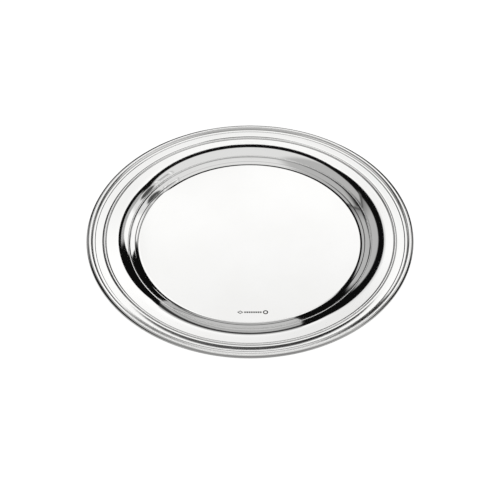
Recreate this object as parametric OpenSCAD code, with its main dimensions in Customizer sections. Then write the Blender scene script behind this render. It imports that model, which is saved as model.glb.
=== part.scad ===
// Round salver: a pressed sheet tray with a fine thread on its wall, a half-round
// wire on its rim and a solid moulding soldered round its edge.
// Millimetres. +Z is up and the origin is the middle of the underside.

/* [Overall] */
// Outside diameter over the edge moulding
outer_d = 350; // [320:5:400]
// Thickness of the pressed sheet
sheet_t = 1.2; // [0.9:0.1:1.4]

/* [Well] */
// Width of the gentle bevel round the flat floor
bevel_w = 1.6; // [1:0.1:2.4]
// Slope of the bevel in degrees
bevel_slope = 9.2; // [8:0.1:11]
// Width of the wall below the score line
lower_wall_w = 2; // [1:0.1:4]
// Slope of the wall below the score line in degrees
lower_wall_slope = 17.4; // [16.2:0.1:19]
// Width of the shallow score line pressed into the wall
score_w = 1.5; // [1:0.1:2]
// Change of slope on the sides of the score line in degrees
score_dip = 4.5; // [3:0.5:9]
// Width of the wall between the score line and the wall thread
mid_wall_w = 4.9; // [3:0.1:7]
// Steepest slope of the wall in degrees, at the wall thread
wall_slope = 21.5; // [20:0.5:24]
// Width of the fine round thread on the wall
wall_thread_w = 1.5; // [1.2:0.1:2]
// Change of slope on the sides of the wall thread in degrees
wall_thread_tilt = 26; // [18:1:32]
// Width of the wall above the wall thread
upper_wall_w = 7.1; // [6:0.1:9]
// Slope of the wall at its top in degrees
upper_wall_slope = 15; // [13:0.5:17]

/* [Rim] */
// Width of the rounded shoulder between the wall and the rim
shoulder_w = 4.2; // [3:0.1:6]
// Slope at the top of the shoulder in degrees
shoulder_slope = 9.6; // [9:0.1:11]
// Slope of the inner band of the rim in degrees
rim_slope = 6.9; // [5:0.1:7.6]
// Width of the inner band
inner_band_w = 7.5; // [5:0.1:10]
// Width of the thread wire soldered on the rim
thread_w = 2.9; // [2.4:0.1:3.4]
// Height of the thread wire above the sheet
thread_h = 0.6; // [0.4:0.05:0.8]
// Width of the shallow hollow outside the thread wire
hollow_w = 1.2; // [0.8:0.1:2]
// Width of the outer band of the rim
band_w = 6.3; // [4:0.1:8]
// Slope of the outer band at its outside in degrees
band_slope = 3.9; // [2:0.1:5]
// Width of the shelf between the outer band and the moulding
shelf_w = 2.5; // [2:0.1:3.5]
// Slope of the shelf in degrees
shelf_slope = 6.5; // [3:0.5:7]

/* [Edge moulding] */
// Width of the moulding seen from above
moulding_w = 6.5; // [6:0.1:7]
// Width of its steep inner flank
flank_w = 1.8; // [1.5:0.1:2.1]
// Slope at the foot of the flank in degrees
flank_slope = 84; // [70:1:86]
// Width of the outer face that falls towards the edge
outer_w = 2.45; // [2:0.05:2.7]
// Slope of the outer face at its outside in degrees
outer_fall = 27; // [18:1:32]
// Height of the rounded edge below the outer face
edge_drop = 1; // [0.8:0.1:1.2]
// Height of the moulding at its edge, from the crown down
edge_t = 2.8; // [2.6:0.1:3]
// Width of the lip that lies on the sheet
lip_w = 2.7; // [2.2:0.1:3]
// Thickness of the solder in the joints
solder_t = 0.15; // [0.1:0.05:0.2]

/* [Punch marks] */
// Distance from the row of marks to the edge of the floor
mark_inset = 13.5; // [8:0.5:30]
// Distance of the middle of the row from the middle of the salver
mark_x = 3; // [-10:1:10]
// Depth of the marks in the floor
mark_depth = 0.2; // [0.1:0.05:0.3]
// Length of one bar in the middle of the row
bar_l = 1.6; // [1:0.1:2]
// Height of the bars
bar_h = 2.2; // [1.2:0.1:3]
// Number of bars
bar_count = 8; // [3:1:9]

/* [Hidden] */
$fn = 128;

silver = "#e4e4e2";
solder_grey = "#b9bbbd";

// Curves that join the stretches of the section: widths, and slopes in degrees
foot_w = 0.3;
bevel_turn = 0.8;
cove_w = 0.5;
cove_slope = 16;
score_turn = 1.2;
score_bed_turn = 0.5;
score_shares = [0.3, 0.3, 0.2, 0.2];
shoulder_end_w = 2.3;
shoulder_end_slope = 8.1;
rim_turn_w = 2.2;
hollow_start_slope = -1.6;
hollow_slope = -0.3;
swell_w = 1.1;
swell_slope = 5.8;
step_w = 0.4;
step_slope = 24;
crown_slope = 10;
outer_turn_w = 0.3;
outer_start_fall = 9;
edge_w = 0.5;
solder_inset = 0.1;

// Punch marks: the lozenge and round frames beside the bars
mark_frame = 0.55;
lozenge_r = 3.2;
lozenge_squash = 0.7;
lozenge_sides = 4;
lozenge_gap = 1.8;
round_r = 2.7;
round_sides = 48;
round_gap = 2.2;
bar_gap = 0.7;
cutter_h = 1;

// Radii where the stretches meet, from the edge inwards
r_out = outer_d / 2;
r_groove = r_out - moulding_w;
r_step = r_groove - shelf_w - step_w;
r_hollow = r_step - band_w - swell_w - hollow_w;
r_thread = r_hollow - thread_w;
r_rim = r_thread - inner_band_w;
r_shoulder = r_rim - rim_turn_w - shoulder_end_w - shoulder_w;
r_line = r_shoulder - upper_wall_w - wall_thread_w;
r_score = r_line - mid_wall_w - score_w;
r_floor = r_score - lower_wall_w - cove_w - bevel_w - foot_w;
r_sheet_edge = r_groove + lip_w;

// Stations [radius, height, slope] of an arc w wide on the sheet's upper face,
// that starts at station p and ends at slope b
function arc(p, w, b, steps = 4) =
    let (rad = w / (sin(b) - sin(p[2])))
    [for (i = [0 : steps])
        let (s = p[2] + (b - p[2]) * i / steps)
        [p[0] + rad * (sin(s) - sin(p[2])), p[1] + rad * (cos(p[2]) - cos(s)), s]];

function last(v) = v[len(v) - 1];

// A list without its first station, which the stretch before it already holds
function rest(v) = [for (i = [1 : len(v) - 1]) v[i]];

// The station at radius r on the straight stretch that starts at station p
function along(p, r) = [r, p[1] + (r - p[0]) * tan(p[2]), p[2]];

// The same point with another slope, where the section has a crease
function turned(p, s) = [p[0], p[1], s];

foot = arc([r_floor, sheet_t, 0], foot_w, bevel_slope);
bevel = arc(last(foot), bevel_w, bevel_slope + bevel_turn);
cove = arc(last(bevel), cove_w, cove_slope);
lower_wall = arc(last(cove), lower_wall_w, lower_wall_slope);
score_slope = lower_wall_slope - score_dip;
score_fall = arc(last(lower_wall), score_w * score_shares[0], score_slope);
score_bed = arc(last(score_fall), score_w * score_shares[1], score_slope + score_bed_turn, 2);
score_rise = arc(last(score_bed), score_w * score_shares[2], lower_wall_slope + score_dip);
score_end = arc(last(score_rise), score_w * score_shares[3], lower_wall_slope + score_turn);
wall = arc(last(score_end), mid_wall_w, wall_slope);
wall_thread = arc(turned(last(wall), wall_slope + wall_thread_tilt), wall_thread_w,
    wall_slope - wall_thread_tilt, 8);
upper_wall = arc(turned(last(wall_thread), wall_slope), upper_wall_w, upper_wall_slope);
shoulder = arc(last(upper_wall), shoulder_w, shoulder_slope);
shoulder_end = arc(last(shoulder), shoulder_end_w, shoulder_end_slope);
rim_turn = arc(last(shoulder_end), rim_turn_w, rim_slope);
thread_foot = along(last(rim_turn), r_thread);
hollow_start = along(thread_foot, r_hollow);
hollow = arc(turned(hollow_start, hollow_start_slope), hollow_w, hollow_slope);
swell = arc(last(hollow), swell_w, swell_slope);
band = arc(last(swell), band_w, band_slope);
step = along(turned(last(band), step_slope), r_step + step_w);
groove = along(turned(step, shelf_slope), r_groove);
sheet_edge = along(groove, r_sheet_edge);

upper_face = concat([[0, sheet_t, 0]], foot, rest(bevel), rest(cove), rest(lower_wall),
    rest(score_fall), rest(score_bed), rest(score_rise), rest(score_end), rest(wall),
    rest(wall_thread), rest(upper_wall), rest(shoulder), rest(shoulder_end), rest(rim_turn),
    [hollow_start], rest(hollow), rest(swell), rest(band), [step, sheet_edge]);

// Stations that the smooth lower face follows: it has no score line, thread or step
lower_face = concat([foot[0]], [last(foot), last(bevel), last(cove), last(lower_wall)],
    rest(wall), rest(upper_wall), rest(shoulder), rest(shoulder_end), rest(rim_turn),
    [last(hollow)], rest(swell), rest(band));

// Section of the edge moulding, from the foot of its flank to its widest point
flank = arc([r_groove, groove[1] + solder_t, flank_slope], flank_w, crown_slope, 10);
crown = arc(last(flank), moulding_w - flank_w - outer_w - edge_w, 0, 5);
outer_turn = arc(last(crown), outer_turn_w, -outer_start_fall, 3);
outer = arc(last(outer_turn), outer_w - outer_turn_w, -outer_fall);
brow = last(outer);
edge_z = brow[1] - edge_drop;
low_z = last(crown)[1] - edge_t;

// Height of the inner band of the rim at radius r
function rim_z(r) = along(thread_foot, r)[1];

// The point under a station, square through the sheet
function under(p) = [p[0] + sheet_t * sin(p[2]), p[1] - sheet_t * cos(p[2])];

// Stations as plain points
function points(v) = [for (p = v) [p[0], p[1]]];

// Sheet section: the upper face outwards, a square edge, then the lower face back
module sheet_section() {
    n = len(lower_face);
    edge = [[r_sheet_edge, sheet_edge[1] - sheet_t / cos(shelf_slope)]];
    lower = [for (i = [n - 1 : -1 : 0]) under(lower_face[i])];
    polygon(concat(points(upper_face), edge, lower, [[0, 0]]));
}

// A lozenge or round punch with a raised middle
module framed_punch(r, squash, sides) {
    scale([1, squash, 1]) difference() {
        cylinder(h = cutter_h, r = r, $fn = sides);
        cylinder(h = cutter_h, r = r * mark_frame, $fn = sides);
    }
}

// Generic punch marks: a lozenge frame, a row of bars and a round frame
module punch_marks() {
    pitch = bar_l + bar_gap;
    row = pitch * (bar_count - 1);
    translate([mark_x, mark_inset - r_floor, sheet_t - mark_depth]) {
        translate([-row / 2 - lozenge_r - lozenge_gap, 0, 0])
            framed_punch(lozenge_r, lozenge_squash, lozenge_sides);
        for (i = [0 : bar_count - 1])
            translate([i * pitch - row / 2 - bar_l / 2, -bar_h / 2, 0]) cube([bar_l, bar_h, cutter_h]);
        translate([row / 2 + round_r + round_gap, 0, 0]) framed_punch(round_r, 1, round_sides);
    }
}

// Pressed sheet: floor, wall with its score line and fine thread, shoulder and banded rim
module tray_body() {
    color(silver) difference() {
        rotate_extrude() sheet_section();
        punch_marks();
    }
}

// Half-round wire that lies on the rim inside the hollow
module thread_wire() {
    steps = 12;
    mid = r_thread + thread_w / 2;
    color(silver) rotate_extrude() polygon([for (i = [0 : steps])
        let (a = 180 - 180 * i / steps)
        let (r = mid + thread_w / 2 * cos(a))
        [r, rim_z(r) + solder_t + (thread_h - solder_t) * sin(a)]]);
}

// Solder film that holds the thread wire
module thread_solder() {
    low = r_thread + solder_inset;
    high = r_hollow - solder_inset;
    color(solder_grey) rotate_extrude() polygon([
        [low, rim_z(low)],
        [high, rim_z(high)],
        [high, rim_z(high) + solder_t],
        [low, rim_z(low) + solder_t]
    ]);
}

// Solid edge moulding: a steep flank, a crown, a falling outer face and a rounded edge
module edge_moulding() {
    steps = 8;
    first = 90 - outer_fall;
    across = (r_out - brow[0]) / (1 - cos(first));
    down = edge_drop / sin(first);
    tuck = edge_z - low_z;
    edge_round = [for (i = [1 : steps])
        let (a = first * (1 - i / steps))
        [r_out - across * (1 - cos(a)), edge_z + down * sin(a)]];
    edge_tuck = [for (i = [1 : steps])
        let (a = 90 * i / steps)
        [r_out - tuck + tuck * cos(a), edge_z - tuck * sin(a)]];
    rebate = [
        [r_sheet_edge + solder_t, low_z],
        [r_sheet_edge + solder_t, sheet_edge[1] + solder_t]
    ];
    face = concat(flank, rest(crown), rest(outer_turn), rest(outer));
    color(silver) rotate_extrude() polygon(concat(points(face), edge_round, edge_tuck, rebate));
}

// Solder between the sheet and the lip, and between the sheet's edge and the moulding
module edge_solder() {
    inner = along(groove, r_groove + solder_inset);
    color(solder_grey) rotate_extrude() polygon([
        [inner[0], inner[1]],
        [r_sheet_edge, sheet_edge[1]],
        [r_sheet_edge, low_z],
        [r_sheet_edge + solder_t, low_z],
        [r_sheet_edge + solder_t, sheet_edge[1] + solder_t],
        [inner[0], inner[1] + solder_t]
    ]);
}

tray_body();
thread_wire();
thread_solder();
edge_moulding();
edge_solder();
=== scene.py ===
import math

import bmesh
import bpy
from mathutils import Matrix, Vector


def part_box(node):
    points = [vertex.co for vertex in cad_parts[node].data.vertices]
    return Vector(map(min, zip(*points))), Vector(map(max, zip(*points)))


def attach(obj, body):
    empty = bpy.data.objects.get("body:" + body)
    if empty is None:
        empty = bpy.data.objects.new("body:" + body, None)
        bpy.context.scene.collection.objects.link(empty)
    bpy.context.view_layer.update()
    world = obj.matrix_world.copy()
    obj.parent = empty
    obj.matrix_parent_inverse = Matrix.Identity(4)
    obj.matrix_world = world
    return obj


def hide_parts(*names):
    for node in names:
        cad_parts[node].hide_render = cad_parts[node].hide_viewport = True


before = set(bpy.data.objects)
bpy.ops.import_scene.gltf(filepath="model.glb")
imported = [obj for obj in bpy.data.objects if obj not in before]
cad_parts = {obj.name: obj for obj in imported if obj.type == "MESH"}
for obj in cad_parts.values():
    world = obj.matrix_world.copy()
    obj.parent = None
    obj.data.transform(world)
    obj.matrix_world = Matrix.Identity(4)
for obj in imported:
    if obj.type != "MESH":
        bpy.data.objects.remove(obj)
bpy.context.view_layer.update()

# ---------------------------------------------------------------------------
# Sizes, in metres and radians. They repeat the driving dimensions of the CAD
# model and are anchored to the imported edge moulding.
# ---------------------------------------------------------------------------
MM = 0.001
SEGMENTS = 420

sheet_t = 1.2 * MM
foot_w = 0.3 * MM
bevel_w = 1.6 * MM
bevel_slope = math.radians(9.2)
bevel_turn = math.radians(0.8)
cove_w = 0.5 * MM
cove_slope = math.radians(16)
lower_wall_w = 2 * MM
lower_wall_slope = math.radians(17.4)
score_w = 1.5 * MM
score_dip = math.radians(4.5)
score_turn = math.radians(1.2)
score_bed_turn = math.radians(0.5)
score_shares = (0.3, 0.3, 0.2, 0.2)
mid_wall_w = 4.9 * MM
wall_slope = math.radians(21.5)
wall_thread_w = 1.5 * MM
wall_thread_tilt = math.radians(26)
upper_wall_w = 7.1 * MM
upper_wall_slope = math.radians(15)
shoulder_w = 4.2 * MM
shoulder_slope = math.radians(9.6)
shoulder_end_w = 2.3 * MM
shoulder_end_slope = math.radians(8.1)
rim_turn_w = 2.2 * MM
rim_slope = math.radians(6.9)
inner_band_w = 7.5 * MM
thread_w = 2.9 * MM
thread_h = 0.6 * MM
hollow_w = 1.2 * MM
hollow_start_slope = math.radians(-1.6)
hollow_slope = math.radians(-0.3)
swell_w = 1.1 * MM
swell_slope = math.radians(5.8)
band_w = 6.3 * MM
band_slope = math.radians(3.9)
step_w = 0.4 * MM
step_slope = math.radians(24)
shelf_w = 2.5 * MM
shelf_slope = math.radians(6.5)
moulding_w = 6.5 * MM
flank_w = 1.8 * MM
flank_slope = math.radians(84)
crown_slope = math.radians(10)
outer_w = 2.45 * MM
outer_turn_w = 0.3 * MM
outer_start_fall = math.radians(9)
outer_fall = math.radians(27)
edge_w = 0.5 * MM
edge_drop = 1 * MM
edge_t = 2.8 * MM
lip_w = 2.7 * MM
solder_t = 0.15 * MM
mark_inset = 13.5 * MM
mark_x = 3 * MM
mark_depth = 0.2 * MM
mark_frame = 0.55
lozenge_r = 3.2 * MM
lozenge_sides = 4
lozenge_squash = 0.7
lozenge_gap = 1.8 * MM
round_r = 2.7 * MM
round_sides = 48
round_gap = 2.2 * MM
bar_l = 1.6 * MM
bar_h = 2.2 * MM
bar_gap = 0.7 * MM
bar_pitch = bar_l + bar_gap
bar_count = 8

r_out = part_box("edge_moulding")[1][0]
r_groove = r_out - moulding_w
r_step = r_groove - shelf_w - step_w
r_hollow = r_step - band_w - swell_w - hollow_w
r_thread = r_hollow - thread_w
r_rim = r_thread - inner_band_w
r_shoulder = r_rim - rim_turn_w - shoulder_end_w - shoulder_w
r_line = r_shoulder - upper_wall_w - wall_thread_w
r_score = r_line - mid_wall_w - score_w
r_floor = r_score - lower_wall_w - cove_w - bevel_w - foot_w
mark_y = r_floor - mark_inset
r_sheet_edge = r_groove + lip_w


# ---------------------------------------------------------------------------
# Section of the sheet: stations of radius, height and slope on its upper face
# ---------------------------------------------------------------------------
def arc(start, width, slope, steps=10):
    """Stations of an arc that starts at a station, is width wide and ends at slope."""
    r, z, first = start
    radius = width / (math.sin(slope) - math.sin(first))
    slopes = [first + (slope - first) * i / steps for i in range(steps + 1)]
    return [
        (r + radius * (math.sin(s) - math.sin(first)), z + radius * (math.cos(first) - math.cos(s)), s)
        for s in slopes
    ]


def along(start, r):
    """The station at radius r on the straight stretch that starts at a station."""
    return (r, start[1] + (r - start[0]) * math.tan(start[2]), start[2])


def turned(station, slope):
    """The same point with another slope, where the section has a crease."""
    return (station[0], station[1], slope)


foot = arc((r_floor, sheet_t, 0), foot_w, bevel_slope)
bevel = arc(foot[-1], bevel_w, bevel_slope + bevel_turn)
cove = arc(bevel[-1], cove_w, cove_slope)
lower_wall = arc(cove[-1], lower_wall_w, lower_wall_slope)
score_slope = lower_wall_slope - score_dip
score = arc(lower_wall[-1], score_w * score_shares[0], score_slope, 4)
score += arc(score[-1], score_w * score_shares[1], score_slope + score_bed_turn, 2)[1:]
score += arc(score[-1], score_w * score_shares[2], lower_wall_slope + score_dip, 5)[1:]
score += arc(score[-1], score_w * score_shares[3], lower_wall_slope + score_turn, 4)[1:]
wall = arc(score[-1], r_line - score[-1][0], wall_slope)
wall_thread_foot = turned(wall[-1], wall_slope + wall_thread_tilt)
wall_thread = arc(wall_thread_foot, wall_thread_w, wall_slope - wall_thread_tilt)
upper_wall = arc(turned(wall_thread[-1], wall_slope), upper_wall_w, upper_wall_slope)
shoulder = arc(upper_wall[-1], shoulder_w, shoulder_slope)
shoulder_end = arc(shoulder[-1], shoulder_end_w, shoulder_end_slope)
rim_turn = arc(shoulder_end[-1], rim_turn_w, rim_slope)
thread_foot = along(rim_turn[-1], r_thread)
hollow_start = along(thread_foot, r_hollow)
hollow = arc(turned(hollow_start, hollow_start_slope), hollow_w, hollow_slope)
swell = arc(hollow[-1], swell_w, swell_slope)
band = arc(swell[-1], band_w, band_slope)
step = along(turned(band[-1], step_slope), r_step + step_w)
groove = along(turned(step, shelf_slope), r_groove)
sheet_edge = along(groove, r_sheet_edge)


def rim_z(r):
    """Height of the inner band of the rim at radius r."""
    return along(thread_foot, r)[1]


def under(station):
    """The point on the lower face, square through the sheet."""
    r, z, s = station
    return (r + sheet_t * math.sin(s), z - sheet_t * math.cos(s))


def eased(points, support=0.25 * MM):
    """Adds a ring near both ends of each long straight stretch, so that shading stays flat on it."""
    out = [points[0]]
    for (r0, z0), (r1, z1) in zip(points, points[1:]):
        length = math.hypot(r1 - r0, z1 - z0)
        if length > 4 * support:
            t = support / length
            out.append((r0 + (r1 - r0) * t, z0 + (z1 - z0) * t))
            out.append((r1 - (r1 - r0) * t, z1 - (z1 - z0) * t))
        out.append((r1, z1))
    return out


def new_object(name, bm):
    """Turns a finished bmesh into a linked object."""
    mesh = bpy.data.meshes.new(name)
    bm.to_mesh(mesh)
    bm.free()
    piece = bpy.data.objects.new(name, mesh)
    bpy.context.collection.objects.link(piece)
    return piece


def lathe(name, outline, closed):
    """Turns an outline of (radius, height) points round the Z axis."""
    bm = bmesh.new()
    rings = []
    for r, z in outline:
        if r < 1e-7:
            rings.append([bm.verts.new((0, 0, z))])
        else:
            turns = [2 * math.pi * i / SEGMENTS for i in range(SEGMENTS)]
            rings.append([bm.verts.new((r * math.cos(a), r * math.sin(a), z)) for a in turns])
    pairs = list(zip(rings, rings[1:]))
    if closed:
        pairs.append((rings[-1], rings[0]))
    for low, high in pairs:
        for i in range(SEGMENTS):
            j = (i + 1) % SEGMENTS
            corners = [low[i % len(low)], high[i % len(high)], high[j % len(high)], low[j % len(low)]]
            corners = list(dict.fromkeys(corners))
            if len(corners) > 2:
                bm.faces.new(corners)
    bmesh.ops.recalc_face_normals(bm, faces=bm.faces)
    return new_object(name, bm)


def smooth(piece, sharp_from):
    """Smooth shading, with edges sharper than this angle left sharp."""
    piece.data.polygons.foreach_set("use_smooth", [True] * len(piece.data.polygons))
    piece.data.set_sharp_from_angle(angle=sharp_from)


# ---------------------------------------------------------------------------
# Shader nodes: each helper adds one node and returns its output
# ---------------------------------------------------------------------------
def feed(tree, socket, value):
    """Sets a socket to a number or links another node's output to it."""
    if isinstance(value, (int, float)):
        socket.default_value = value
    else:
        tree.links.new(value, socket)


def math_node(tree, operation, a, b=None):
    node = tree.nodes.new("ShaderNodeMath")
    node.operation = operation
    feed(tree, node.inputs[0], a)
    if b is not None:
        feed(tree, node.inputs[1], b)
    return node.outputs[0]


def vector_math(tree, operation, vector, by=None):
    node = tree.nodes.new("ShaderNodeVectorMath")
    node.operation = operation
    tree.links.new(vector, node.inputs[0])
    if by is not None:
        node.inputs[1].default_value = by
    return node.outputs


def map_range(tree, value, start, end, interpolation="LINEAR"):
    """Maps the numbers from start[0] to start[1] onto those from end[0] to end[1]."""
    node = tree.nodes.new("ShaderNodeMapRange")
    node.interpolation_type = interpolation
    feed(tree, node.inputs["Value"], value)
    node.inputs["From Min"].default_value = start[0]
    node.inputs["From Max"].default_value = start[1]
    node.inputs["To Min"].default_value = end[0]
    node.inputs["To Max"].default_value = end[1]
    return node.outputs["Result"]


def noise(tree, place, scale, detail):
    node = tree.nodes.new("ShaderNodeTexNoise")
    node.inputs["Scale"].default_value = scale
    node.inputs["Detail"].default_value = detail
    tree.links.new(place, node.inputs["Vector"])
    return node.outputs["Fac"]


def ramp(tree, value, low, high, start=0, end=1):
    """A ramp from the colour low at start to the colour high at end."""
    node = tree.nodes.new("ShaderNodeValToRGB")
    first, second = node.color_ramp.elements
    first.position = start
    first.color = (*low, 1)
    second.position = end
    second.color = (*high, 1)
    tree.links.new(value, node.inputs["Fac"])
    return node.outputs["Color"]


# ---------------------------------------------------------------------------
# Materials
# ---------------------------------------------------------------------------
def new_material(name):
    mat = bpy.data.materials.new(name)
    mat.use_nodes = True
    return mat, mat.node_tree, mat.node_tree.nodes["Principled BSDF"]


def new_metal(name):
    """A bare metal, with the coordinates that its textures lie in."""
    mat, tree, shader = new_material(name)
    shader.inputs["Metallic"].default_value = 1.0
    return mat, tree, shader, tree.nodes.new("ShaderNodeTexCoord").outputs["Object"]


def painted_shade_rings(tree, place, drift, colour, shade_rings):
    """Paints shade as thin dark rings round the Z axis, unevenly along their length."""
    # Colour of the painted shade
    shade_colour = (0.03, 0.028, 0.026, 1)
    flat = vector_math(tree, "MULTIPLY", place, (1, 1, 0))["Vector"]
    radius = vector_math(tree, "LENGTH", flat)["Value"]
    patchy = map_range(tree, drift, (0.35, 0.65), (0.75, 1))
    for at, half, strength in shade_rings:
        away = math_node(tree, "ABSOLUTE", math_node(tree, "SUBTRACT", radius, at))
        mask = map_range(tree, away, (half * 0.5, half * 1.5), (strength, 0), "SMOOTHSTEP")
        mix = tree.nodes.new("ShaderNodeMix")
        mix.data_type = "RGBA"
        mix.inputs[7].default_value = shade_colour
        tree.links.new(math_node(tree, "MULTIPLY", mask, patchy), mix.inputs[0])
        tree.links.new(colour, mix.inputs[6])
        colour = mix.outputs[2]
    return colour


def silver(name, roughness, scratch, shade_rings=()):
    """Polished silver: slight tone drift, hairline polishing marks and rings of painted shade.

    Each ring of painted shade is its radius, half its width and how dark it is.
    """
    worn_roughness = roughness * 1.9
    scratch_depth = 0.01 * MM
    mat, tree, shader, place = new_metal(name)
    drift = noise(tree, place, 14, 3)
    colour = ramp(tree, drift, (0.945, 0.942, 0.93), (0.972, 0.97, 0.962), 0.3, 0.7)
    # Painted shade: dark rings laid over the tone
    if shade_rings:
        colour = painted_shade_rings(tree, place, drift, colour, shade_rings)
    tree.links.new(colour, shader.inputs["Base Color"])

    stretch = tree.nodes.new("ShaderNodeMapping")
    stretch.inputs["Scale"].default_value = (0.12, 1, 1)
    stretch.inputs["Rotation"].default_value = (0, 0, math.radians(28))
    tree.links.new(place, stretch.inputs["Vector"])
    hair = noise(tree, stretch.outputs["Vector"], 900, 4)
    gloss = map_range(tree, hair, (0.35, 0.75), (roughness, worn_roughness))
    tree.links.new(gloss, shader.inputs["Roughness"])

    bump = tree.nodes.new("ShaderNodeBump")
    bump.inputs["Strength"].default_value = scratch
    bump.inputs["Distance"].default_value = scratch_depth
    tree.links.new(hair, bump.inputs["Height"])
    tree.links.new(bump.outputs["Normal"], shader.inputs["Normal"])
    return mat


def shaded_recess_silver():
    """Dark silver in the bottom of the punch marks: painted shade in the hollows."""
    mat, tree, shader, place = new_metal("silver_recess_shade")
    shader.inputs["Roughness"].default_value = 0.45
    grain = noise(tree, place, 900, 3)
    tree.links.new(ramp(tree, grain, (0.05, 0.05, 0.05), (0.24, 0.235, 0.225)), shader.inputs["Base Color"])
    return mat


def solder_metal():
    """Dull grey silver solder with a grainy skin."""
    mat, tree, shader, place = new_metal("silver_solder")
    grain = noise(tree, place, 1400, 6)
    tree.links.new(ramp(tree, grain, (0.46, 0.46, 0.45), (0.68, 0.68, 0.66)), shader.inputs["Base Color"])
    tree.links.new(map_range(tree, grain, (0, 1), (0.35, 0.6)), shader.inputs["Roughness"])
    return mat


# ---------------------------------------------------------------------------
# Pieces
# ---------------------------------------------------------------------------
def finish_piece(piece, node):
    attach(piece, "root")
    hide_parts(node)


def mark_cutter(name, outline, inner):
    """A prism over an outline of points on the floor, or over the frame between two outlines."""
    bm = bmesh.new()
    loops = []
    for z in (sheet_t - mark_depth, sheet_t + MM):
        loops.append([bm.verts.new((mark_x + x, -mark_y + y, z)) for x, y in outline])
        loops.append([bm.verts.new((mark_x + x, -mark_y + y, z)) for x, y in inner])
    low, low_in, high, high_in = loops
    for i in range(len(outline)):
        j = (i + 1) % len(outline)
        bm.faces.new((low[i], low[j], high[j], high[i]))
        if inner:
            bm.faces.new((low_in[j], low_in[i], high_in[i], high_in[j]))
            bm.faces.new((low[j], low[i], low_in[i], low_in[j]))
            bm.faces.new((high[i], high[j], high_in[j], high_in[i]))
    if not inner:
        bm.faces.new(low[::-1])
        bm.faces.new(high)
    return new_object(name, bm)


def framed_mark(x, radius, sides, squash=1.0):
    """Outer and inner outline of a frame at x on the line of marks, squashed across that line."""
    turns = [2 * math.pi * i / sides for i in range(sides)]
    return [
        [(x + size * math.cos(a), size * squash * math.sin(a)) for a in turns]
        for size in (radius, radius * mark_frame)
    ]


def cut_marks(piece):
    """Generic punch marks: a lozenge frame, a row of bars and a round frame."""
    row = bar_pitch * (bar_count - 1)
    marks = [
        framed_mark(-row / 2 - lozenge_r - lozenge_gap, lozenge_r, lozenge_sides, lozenge_squash),
        framed_mark(row / 2 + round_r + round_gap, round_r, round_sides),
    ]
    for i in range(bar_count):
        x = i * bar_pitch - row / 2
        corners = ((-1, -1), (1, -1), (1, 1), (-1, 1))
        marks.append(([(x + sx * bar_l / 2, sy * bar_h / 2) for sx, sy in corners], []))
    for i, (outline, inner) in enumerate(marks):
        cutter = mark_cutter(f"mark_{i}", outline, inner)
        cut = piece.modifiers.new("cut", "BOOLEAN")
        cut.object = cutter
        cut.operation = "DIFFERENCE"
        cut.solver = "EXACT"
        bpy.context.view_layer.objects.active = piece
        bpy.ops.object.modifier_apply(modifier=cut.name)
        bpy.data.objects.remove(cutter)
    # The faces at the bottom of the marks take the dark silver, painted shade.
    for face in piece.data.polygons:
        r = math.hypot(face.center.x, face.center.y)
        if r < r_floor - MM and sheet_t / 2 < face.center.z < sheet_t - mark_depth / 4:
            face.material_index = 1


def make_tray():
    top = [(0, sheet_t, 0), *foot, *bevel[1:], *cove[1:], *lower_wall[1:], *score[1:], *wall[1:]]
    top += [*wall_thread[1:], *upper_wall[1:], *shoulder[1:], *shoulder_end[1:], *rim_turn[1:]]
    top += [hollow_start, *hollow[1:], *swell[1:], *band[1:], step, groove, sheet_edge]
    # The lower face follows every fifth station, without the score line, thread and step
    lower = [(r_sheet_edge, sheet_edge[1] - sheet_t / math.cos(shelf_slope))]
    rim_parts = (band, swell, hollow, rim_turn, shoulder_end, shoulder)
    for part in (*rim_parts, upper_wall, wall, lower_wall, cove, foot):
        lower += [under(p) for p in part[::-5]]
    lower.append((0, 0))
    outline = eased([(r, z) for r, z, s in top]) + eased(lower)
    piece = lathe("tray", outline, closed=False)
    piece.data.materials.append(plate)
    piece.data.materials.append(recess)
    cut_marks(piece)
    smooth(piece, math.radians(25))
    return piece


def make_thread():
    steps = 24
    mid, half = (r_thread + r_hollow) / 2, thread_w / 2
    outline = []
    for i in range(steps + 1):
        a = math.pi * i / steps
        r = mid - half * math.cos(a)
        outline.append((r, rim_z(r) + solder_t + (thread_h - solder_t) * math.sin(a)))
    piece = lathe("thread_wire_round", outline, closed=True)
    piece.data.materials.append(wire)
    smooth(piece, math.radians(50))
    return piece


def make_moulding():
    flank = arc((r_groove, groove[1] + solder_t, flank_slope), flank_w, crown_slope, 14)
    crown = arc(flank[-1], r_out - edge_w - outer_w - flank[-1][0], 0, 12)
    outer_turn = arc(crown[-1], outer_turn_w, -outer_start_fall, 4)
    outer = arc(outer_turn[-1], outer_w - outer_turn_w, -outer_fall, 10)
    outline = [(r, z) for r, z, s in flank + crown[1:] + outer_turn[1:] + outer[1:]]
    # The rounded edge, then the tuck under it and the rebate for the sheet
    brow_r, brow_z = outer[-1][:2]
    edge_z = brow_z - edge_drop
    low_z = crown[-1][1] - edge_t
    tuck_r = r_out - (edge_z - low_z)
    steps = 20
    first = math.pi / 2 - outer_fall
    across = (r_out - brow_r) / (1 - math.cos(first))
    down = edge_drop / math.sin(first)
    for i in range(1, steps + 1):
        a = first * (1 - i / steps)
        outline.append((r_out - across * (1 - math.cos(a)), edge_z + down * math.sin(a)))
    for i in range(1, steps // 2 + 1):
        a = math.pi * i / steps
        outline.append((tuck_r + (r_out - tuck_r) * math.cos(a), edge_z - (edge_z - low_z) * math.sin(a)))
    outline.append((r_sheet_edge + solder_t, low_z))
    outline.append((r_sheet_edge + solder_t, sheet_edge[1] + solder_t))
    piece = lathe("edge_moulding_round", outline, closed=True)
    piece.data.materials.append(moulding)
    smooth(piece, math.radians(40))
    return piece


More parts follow.
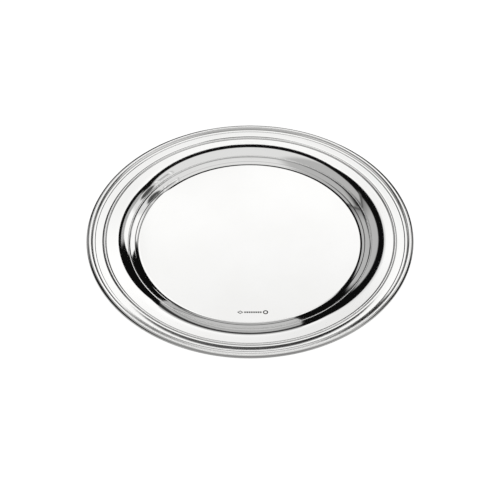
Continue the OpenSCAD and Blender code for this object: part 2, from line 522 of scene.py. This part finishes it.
# ---------------------------------------------------------------------------
# Studio: camera, floor and backdrop
# ---------------------------------------------------------------------------
def make_camera():
    elevation = math.radians(45.35)
    distance = (r_out * 2) * 4.299
    lens = 100.4
    # The view axis passes a little below the middle of the floor
    drop = math.radians(0.433)
    centre = Vector((0, 0, sheet_t))
    back = Vector((0, -math.cos(elevation), math.sin(elevation)))
    data = bpy.data.cameras.new("camera")
    data.lens = lens
    camera = bpy.data.objects.new("camera", data)
    bpy.context.collection.objects.link(camera)
    camera.location = centre + back * distance
    look = (-back).to_track_quat("-Z", "Y").to_euler()
    look.x -= drop
    camera.rotation_euler = look
    bpy.context.scene.camera = camera


def disc(name, radius, z):
    bm = bmesh.new()
    bmesh.ops.create_circle(bm, cap_ends=True, radius=radius, segments=96)
    bmesh.ops.translate(bm, verts=bm.verts, vec=(0, 0, z))
    return new_object(name, bm)


def glow(name, level, paint):
    """A surface that gives off its own light, and takes as much of the other light as its paint."""
    mat, tree, shader = new_material(name)
    shader.inputs["Base Color"].default_value = (paint, paint, paint, 1)
    shader.inputs["Roughness"].default_value = 0.9
    shader.inputs["Specular IOR Level"].default_value = 0.0
    shader.inputs["Emission Color"].default_value = (1, 1, 1, 1)
    shader.inputs["Emission Strength"].default_value = level
    return mat


def make_stage():
    """A white floor and backdrop that the camera sees, and a grey floor that only the silver mirrors."""
    room_r = 6
    backdrop_r = 5.9
    mirrored_z = -0.0004
    floor = disc("floor", room_r, 0)
    floor.data.materials.append(glow("floor_white", 0.85, 0.6))
    floor.visible_glossy = False
    floor.visible_diffuse = False
    mirrored = disc("floor_mirrored", room_r, mirrored_z)
    mirrored.data.materials.append(glow("floor_grey", 0.38, 0.0))
    mirrored.visible_camera = False
    mirrored.visible_shadow = False
    bm = bmesh.new()
    bmesh.ops.create_uvsphere(bm, u_segments=64, v_segments=32, radius=backdrop_r)
    backdrop = new_object("backdrop", bm)
    backdrop.data.materials.append(glow("backdrop_white", 1.1, 0.0))
    backdrop.visible_glossy = False
    backdrop.visible_diffuse = False
    backdrop.visible_shadow = False
    backdrop.visible_transmission = False


# ---------------------------------------------------------------------------
# Light: the studio that the silver mirrors, painted from the far layers to the
# near ones. Tones are brightness, and places and soft edges are in degrees.
# ---------------------------------------------------------------------------
class Plan:
    """The studio's light as a plan of the dome above: degrees from overhead, X right, Y back."""

    def __init__(self, tree, base):
        self.tree = tree
        self.light = base
        where = tree.nodes.new("ShaderNodeTexCoord")
        split = tree.nodes.new("ShaderNodeSeparateXYZ")
        tree.links.new(where.outputs["Generated"], split.inputs[0])
        x, y, z = split.outputs
        flat = self.length(x, y)
        tilt = self.math("MULTIPLY", self.math("ARCTAN2", flat, z), 180 / math.pi)
        scale = self.math("DIVIDE", tilt, self.math("MAXIMUM", flat, 0.0001))
        self.x = self.math("MULTIPLY", x, scale)
        self.y = self.math("MULTIPLY", y, scale)

    def math(self, operation, a, b=None):
        return math_node(self.tree, operation, a, b)

    def length(self, a, b):
        squares = self.math("ADD", self.math("MULTIPLY", a, a), self.math("MULTIPLY", b, b))
        return self.math("SQRT", squares)

    def bend(self, value, start, lean, curve=0.0):
        """start + lean * value + curve * value * value."""
        straight = self.math("ADD", start, self.math("MULTIPLY", value, lean))
        if not curve:
            return straight
        return self.math("ADD", straight, self.math("MULTIPLY", self.math("MULTIPLY", value, value), curve))

    def above(self, value, at, soft):
        """From 0 to 1 as value passes at, over a stretch of twice soft."""
        past = self.math("SUBTRACT", value, at)
        return map_range(self.tree, past, (-soft, soft), (0, 1), "SMOOTHSTEP")

    def below(self, value, at, soft):
        return self.math("SUBTRACT", 1, self.above(value, at, soft))

    def both(self, *masks):
        out = masks[0]
        for mask in masks[1:]:
            out = self.math("MULTIPLY", out, mask)
        return out

    def between(self, value, low, high, soft_low, soft_high):
        return self.both(self.above(value, low, soft_low), self.below(value, high, soft_high))

    def patch(self, across, back):
        """A panel: each way it has its low and high side and how soft both are."""
        return self.both(self.between(self.x, *across), self.between(self.y, *back))

    def spot(self, x, y, half_x, half_y, soft):
        """An ellipse: 1 inside and 0 outside, blended over soft times its size."""
        dx = self.math("DIVIDE", self.math("SUBTRACT", self.x, x), half_x)
        dy = self.math("DIVIDE", self.math("SUBTRACT", self.y, y), half_y)
        return self.below(self.length(dx, dy), 1, soft)

    def diamond(self, x, y, half_x, half_y):
        """0 at the middle of a diamond and 1 on its outline."""
        dx = self.math("ABSOLUTE", self.math("DIVIDE", self.math("SUBTRACT", self.x, x), half_x))
        dy = self.math("ABSOLUTE", self.math("DIVIDE", self.math("SUBTRACT", self.y, y), half_y))
        return self.math("ADD", dx, dy)

    def layer(self, base, over, mask):
        """base where mask is 0 and over where it is 1."""
        node = self.tree.nodes.new("ShaderNodeMix")
        node.data_type = "FLOAT"
        feed(self.tree, node.inputs[0], mask)
        feed(self.tree, node.inputs[2], base)
        feed(self.tree, node.inputs[3], over)
        return node.outputs[0]

    def paint(self, tone, mask):
        """Lays a tone over what is painted so far."""
        self.light = self.layer(self.light, tone, mask)


def paint_room(plan):
    """Pale screens far to the sides, and a ceiling panel with a darker left part."""
    side_screen = 0.74
    ceiling_dark = 0.46
    ceiling_pale = 0.76
    plan.paint(side_screen, plan.above(plan.math("ABSOLUTE", plan.x), 44, 5))
    ceiling = plan.layer(ceiling_dark, ceiling_pale, plan.above(plan.x, -8.9, 2.2))
    plan.paint(ceiling, plan.both(plan.above(plan.y, 5, 3), plan.between(plan.x, -34, 34, 2, 2)))


def paint_side_walls(plan):
    """Dark sides of the room, left and right of the back panels, each with a pale screen."""
    left_wall = 0.02
    left_screen = 0.72
    right_wall = 0.03
    right_screen = 0.4
    left_low = plan.bend(plan.x, -49, -0.9)
    plan.paint(left_wall, plan.patch((-76, -25.5, 4, 2), (left_low, 95, 6, 4)))
    plan.paint(left_screen, plan.spot(-46.5, 47, 9.5, 10, 0.4))
    plan.paint(right_wall, plan.patch((29, 80, 2, 5), (8, 85, 4, 4)))
    plan.paint(right_screen, plan.spot(48, 46, 10, 8, 0.3))


def paint_surround(plan):
    """Black surround behind the ceiling panel, and a black wall above the right panel."""
    black = 0.004
    far_left = plan.math("MAXIMUM", plan.math("SUBTRACT", -11, plan.x), 0)
    low = plan.bend(far_left, 27.8, 0, 0.09)
    plan.paint(black, plan.both(plan.above(plan.y, low, 0.9), plan.between(plan.x, -28, 19, 1, 1)))
    plan.paint(black, plan.both(plan.between(plan.x, 12, 31, 1, 2), plan.above(plan.y, 45, 1.5)))


def paint_left_panel(plan):
    """Grey panel on the left, darker low down, with a dark sill line."""
    panel = 0.47
    panel_low = 0.24
    sill_tone = 0.1
    grey = plan.layer(panel, panel_low, plan.below(plan.y, 36.5, 3.5))
    plan.paint(grey, plan.patch((-27.5, -17.9, 0.6, 0.9), (32, 67, 0.6, 3)))
    sill = plan.bend(plan.math("ADD", plan.x, 20), 32.8, 0.04, 0.02)
    sill_line = plan.between(plan.math("SUBTRACT", plan.y, sill), -0.7, 0.6, 0.4, 0.4)
    plan.paint(sill_tone, plan.both(sill_line, plan.between(plan.x, -28, -15, 0.5, 1)))


def paint_right_panel(plan):
    """White panel on the right with a striped inner edge, and a dark thing and a framed diamond below."""
    stripe_tone = 0.42
    stripe_contrast = 0.2
    stripe_pitch = 5.6
    white = 1.0
    dark_thing = 0.07
    outline_grey = 0.4
    inner_grey = 0.46
    stripes = plan.math("SINE", plan.math("MULTIPLY", plan.x, stripe_pitch))
    edge = plan.bend(stripes, stripe_tone, stripe_contrast)
    plan.paint(edge, plan.patch((16.6, 21, 0.4, 0.3), (32, 48, 1, 1.5)))
    top = plan.bend(plan.math("SUBTRACT", plan.x, 24), 52, 2)
    plan.paint(white, plan.patch((21, 27.6, 0.4, 0.4), (36, top, 1.5, 1)))
    plan.paint(dark_thing, plan.spot(22.6, 28, 3, 3.4, 0.25))
    diamond = plan.diamond(18.2, 22.8, 3.2, 4.4)
    for tone, size in ((outline_grey, 1.08), (white, 0.94), (inner_grey, 0.7)):
        plan.paint(tone, plan.below(diamond, size, 0.06))


def paint_card(plan):
    """White card in the middle of the back, dimmer in places."""
    x, y = plan.x, plan.y
    tone = plan.layer(1.05, 0.92, plan.spot(1.5, 40.4, 9, 4, 0.9))
    tone = plan.layer(tone, 0.86, plan.spot(-3, 53.5, 4.6, 5, 0.8))
    tone = plan.layer(tone, 0.72, plan.both(plan.below(x, -5.6, 1.3), plan.above(y, 41, 2)))
    tone = plan.layer(tone, 0.1, plan.spot(0.1, 50.8, 1.9, 1.7, 0.3))
    tone = plan.layer(tone, 0.02, plan.spot(-1.3, 50.2, 1.3, 1.4, 0.3))
    right = plan.bend(plan.math("SUBTRACT", y, 45), 10.7, 0.06)
    left = plan.bend(plan.math("MAXIMUM", plan.math("SUBTRACT", 44, y), 0), -7.1, 0.14)
    plan.paint(tone, plan.patch((left, right, 0.25, 0.3), (34.3, 63, 0.3, 1)))


def paint_table_edge(plan):
    """Table edge beyond the card: a grey wedge that widens outwards, dark along its foot."""
    x, y = plan.x, plan.y
    left = plan.bend(plan.math("SUBTRACT", y, 60.7), -3.5, -0.257)
    right = plan.bend(plan.math("SUBTRACT", y, 60.2), 7.9, 0.622)
    grey = plan.layer(0.62, 0.04, plan.above(y, 63.4, 2))
    grey = plan.layer(grey, 0.45, plan.above(y, 70.6, 0.7))
    grey = plan.layer(grey, 0.2, plan.between(y, 75.6, 76.6, 0.4, 0.4))
    grey = plan.layer(grey, 0.54, plan.above(y, 76.8, 0.4))
    inside = plan.both(plan.above(x, left, 0.15), plan.below(x, right, 0.15))
    plan.paint(grey, plan.both(inside, plan.above(y, 59.8, 0.7)))


def make_light():
    room_grey = 0.42
    world = bpy.data.worlds.new("studio")
    bpy.context.scene.world = world
    world.use_nodes = True
    plan = Plan(world.node_tree, room_grey)
    paint_room(plan)
    paint_side_walls(plan)
    paint_surround(plan)
    paint_left_panel(plan)
    paint_right_panel(plan)
    paint_card(plan)
    paint_table_edge(plan)
    world.node_tree.links.new(plan.light, world.node_tree.nodes["Background"].inputs["Color"])


# ---------------------------------------------------------------------------
# Build
# ---------------------------------------------------------------------------
make_camera()
make_stage()
make_light()
bpy.context.scene.view_settings.view_transform = "Standard"

# Rings of painted shade on the plate, along its crease lines: radius, half width and darkness
plate_shade_rings = (
    (r_score + score_w * 0.6, 0.25 * MM, 0.4),
    (r_line, 0.2 * MM, 0.35),
    (r_line + wall_thread_w, 0.2 * MM, 0.35),
    (r_thread - 0.2 * MM, 0.3 * MM, 0.75),
    (r_hollow + 0.25 * MM, 0.35 * MM, 0.8),
    (r_step, 0.2 * MM, 0.3),
    (r_groove - 0.2 * MM, 0.35 * MM, 0.65),
)
plate = silver("silver_plate", 0.03, 0.2, plate_shade_rings)
recess = shaded_recess_silver()
wire = silver("silver_wire", 0.03, 0.15)
# Painted shade on the outer rounded edge of the moulding: radius, half width and darkness
moulding_edge_shade = ((r_out - 1.1 * MM, 0.9 * MM, 0.5),)
moulding = silver("silver_moulding", 0.035, 0.2, moulding_edge_shade)
solder = solder_metal()

finish_piece(make_tray(), "tray_body")
finish_piece(make_thread(), "thread_wire")
finish_piece(make_moulding(), "edge_moulding")
for node in ("thread_solder", "edge_solder"):
    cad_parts[node].material_slots[0].material = solder
